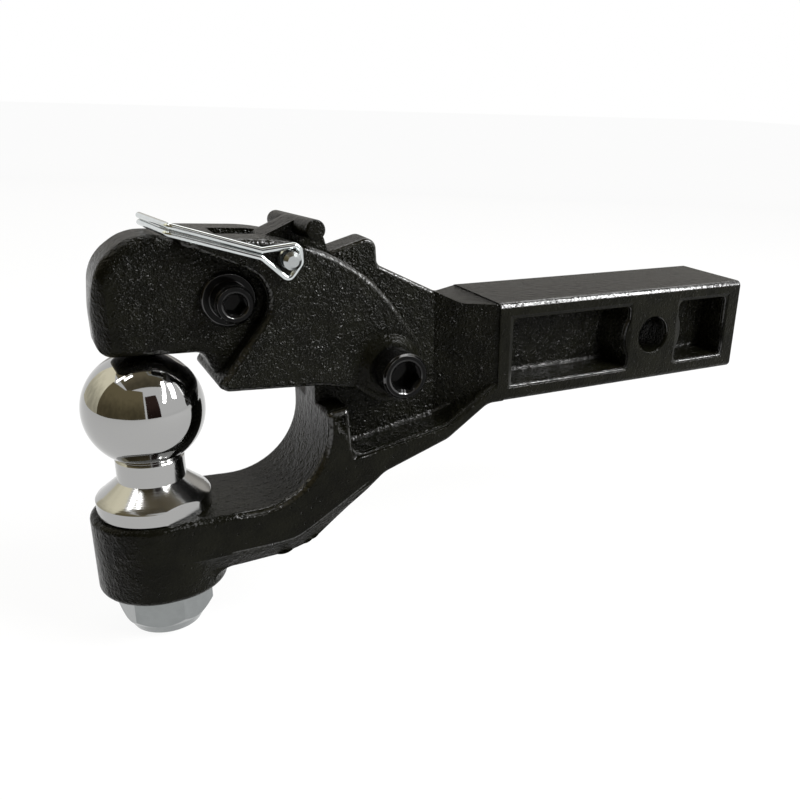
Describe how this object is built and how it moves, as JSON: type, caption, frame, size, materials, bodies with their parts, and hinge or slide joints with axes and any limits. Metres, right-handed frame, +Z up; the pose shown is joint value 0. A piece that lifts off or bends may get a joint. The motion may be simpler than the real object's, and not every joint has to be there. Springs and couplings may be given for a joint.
{
  "type": "duckbill hitch",
  "caption": "Square-shank towing hitch with a bolted tow ball and a swinging beak that locks over it by a T-handle lever and safety pin.",
  "frame": {"origin": "hitch-pin hole axis at the centre of the shank", "axes": "+X along the shank towards its free end, +Y across the shank along the hitch-pin hole, +Z up, the way the tow ball points"},
  "size_m": [0.3455, 0.0847, 0.1842],
  "materials": {
    "black_coat": "gloss black powder coat over a forging",
    "black_oxide": "oiled black oxide steel",
    "chrome": "bright chrome plate",
    "zinc": "bright blue zinc plate",
    "plain_steel": "ground steel",
    "bronze": "plain bearing bronze",
    "nylon": "white nylon"
  },
  "bodies": {
    "hitch": {"hitch_body": "black_coat", "jaw_pivot_bush": "bronze", "tow_ball": "chrome", "ball_nut": "zinc", "ball_nut_insert": "nylon"},
    "jaw": {"upper_jaw": "black_coat", "jaw_pivot_bolt": "black_oxide", "jaw_pivot_sleeve": "plain_steel", "jaw_pivot_washer": "black_oxide", "jaw_pivot_nut": "black_oxide", "jaw_nut_insert": "nylon", "lock_pivot_bolt": "black_oxide", "lock_pivot_sleeve": "plain_steel", "lock_pivot_washers": "black_oxide", "lock_pivot_nut": "black_oxide", "lock_nut_insert": "nylon"},
    "lever": {"lock_lever": "black_coat", "lock_lever_bush": "bronze", "lock_spring": "plain_steel"},
    "pin": {"safety_pin": "zinc"},
    "bail": {"pin_bail": "zinc"}
  },
  "joints": [
    {"name": "jaw_open", "type": "hinge", "parent": "hitch", "child": "jaw", "pos_m": [-0.1537, 0, 0.0006], "axis": [0, 1, 0], "range_deg": [0, 28]},
    {"name": "lock_turn", "type": "hinge", "parent": "jaw", "child": "lever", "pos_m": [-0.222, 0, 0.0352], "axis": [0, 1, 0], "range_deg": [-28, 0], "deforming": ["lock_spring"]},
    {"name": "pin_pull", "type": "slide", "parent": "jaw", "child": "pin", "axis": [0, -1, 0], "range_m": [0, 0.052]},
    {"name": "bail_turn", "type": "hinge", "parent": "pin", "child": "bail", "pos_m": [-0.1993, -0.0277, 0.0525], "axis": [0, 1, 0], "range_deg": [0, 90]}
  ],
  "couplings": [
    {"joint": "lock_turn", "follows": "jaw_open", "ratio": -1}
  ]
}
